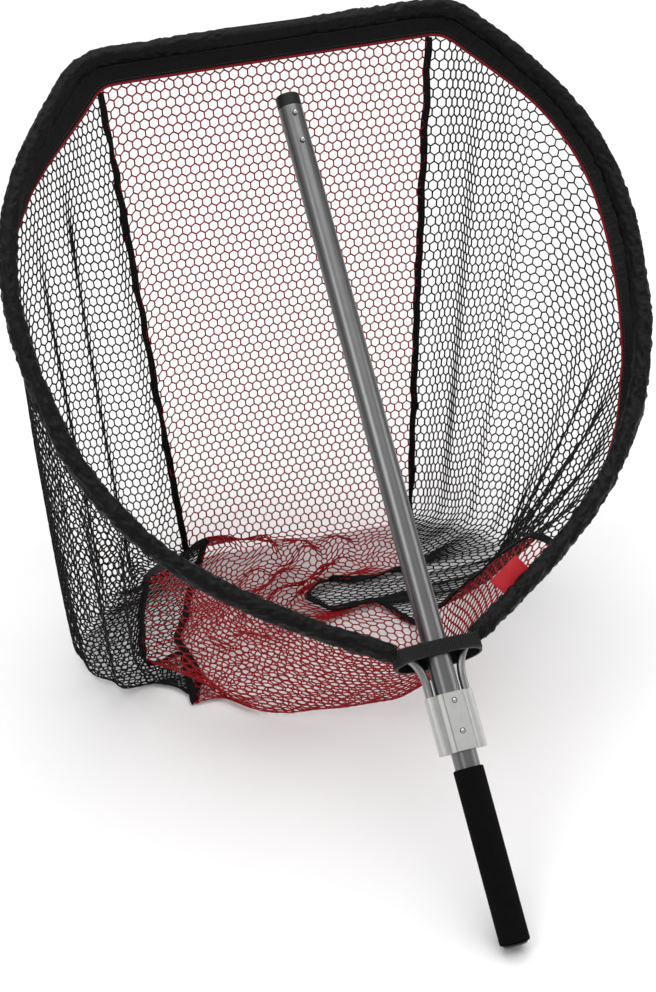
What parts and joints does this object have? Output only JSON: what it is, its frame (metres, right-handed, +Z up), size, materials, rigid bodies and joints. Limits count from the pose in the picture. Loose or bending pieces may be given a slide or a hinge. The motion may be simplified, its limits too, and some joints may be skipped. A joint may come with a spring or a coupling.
{
  "type": "landing net",
  "caption": "Landing net: a wide tubular hoop with a padded sleeve and a deep mesh bag, on a yoke that slides and locks along a tubular handle with a foam grip.",
  "frame": {"origin": "on the ground, under the middle of the object's box, with the grip's end and the bag's floor resting on the ground", "axes": "+X sideways across the hoop, +Y from the grip towards the front bar of the hoop, +Z up; the handle and the hoop rise at 40 degrees along +Y"},
  "size_m": [0.792, 0.8862, 0.7492],
  "materials": {
    "anodised_tube": "gunmetal anodised, satin, with long draw lines",
    "eva_foam": "closed-cell foam, matte",
    "black_plastic": "moulded, satin",
    "spring_steel": "bright stainless",
    "bare_aluminium": "extruded, bright, faint lines along its length",
    "sleeve_fabric": "woven polyester over foam, matte",
    "red_piping": "woven piping, matte",
    "red_netting": "coated hexagonal mesh",
    "black_netting": "coated hexagonal mesh",
    "seam_binding": "folded binding tape, matte",
    "red_tag": "smooth coated tag, plain"
  },
  "bodies": {
    "handle": {"handle_tube": "anodised_tube", "grip_foam": "eva_foam", "butt_plug": "black_plastic", "handle_end_cap": "black_plastic", "lock_spring_1": "spring_steel", "lock_spring_2": "spring_steel", "lock_spring_3": "spring_steel", "lock_spring_4": "spring_steel"},
    "head": {"yoke_block": "bare_aluminium", "hoop_tube": "bare_aluminium", "collar": "black_plastic", "hoop_sleeve": "sleeve_fabric", "sleeve_skirt": "sleeve_fabric", "skirt_piping": "red_piping", "label_tag": "red_tag", "arm_rivet_1": "bare_aluminium", "arm_rivet_2": "bare_aluminium", "arm_rivet_3": "bare_aluminium", "arm_rivet_4": "bare_aluminium", "net_back_panel": "red_netting", "net_base_panel": "red_netting", "net_front_panel": "red_netting", "net_left_panel": "black_netting", "net_right_panel": "black_netting", "seam_tape_left": "seam_binding", "seam_tape_right": "seam_binding"},
    "button_1": {"lock_button_1": "spring_steel"},
    "button_2": {"lock_button_2": "spring_steel"},
    "button_3": {"lock_button_3": "spring_steel"},
    "button_4": {"lock_button_4": "spring_steel"}
  },
  "joints": [
    {"name": "head_slide", "type": "slide", "parent": "handle", "child": "head", "axis": [0, 0.766, 0.6428], "range_m": [0, 0.734]},
    {"name": "button_press_1", "type": "slide", "parent": "handle", "child": "button_1", "axis": [0, 0.6428, -0.766], "range_m": [0, 0.0047], "stiffness_N_per_m": 1200, "springref_m": -0.003, "deforming": ["lock_spring_1"]},
    {"name": "button_press_2", "type": "slide", "parent": "handle", "child": "button_2", "axis": [0, 0.6428, -0.766], "range_m": [0, 0.0047], "stiffness_N_per_m": 1200, "springref_m": -0.003, "deforming": ["lock_spring_2"]},
    {"name": "button_press_3", "type": "slide", "parent": "handle", "child": "button_3", "axis": [0, 0.6428, -0.766], "range_m": [0, 0.0047], "stiffness_N_per_m": 1200, "springref_m": -0.003, "deforming": ["lock_spring_3"]},
    {"name": "button_press_4", "type": "slide", "parent": "handle", "child": "button_4", "axis": [0, 0.6428, -0.766], "range_m": [0, 0.0047], "stiffness_N_per_m": 1200, "springref_m": -0.003, "deforming": ["lock_spring_4"]}
  ]
}
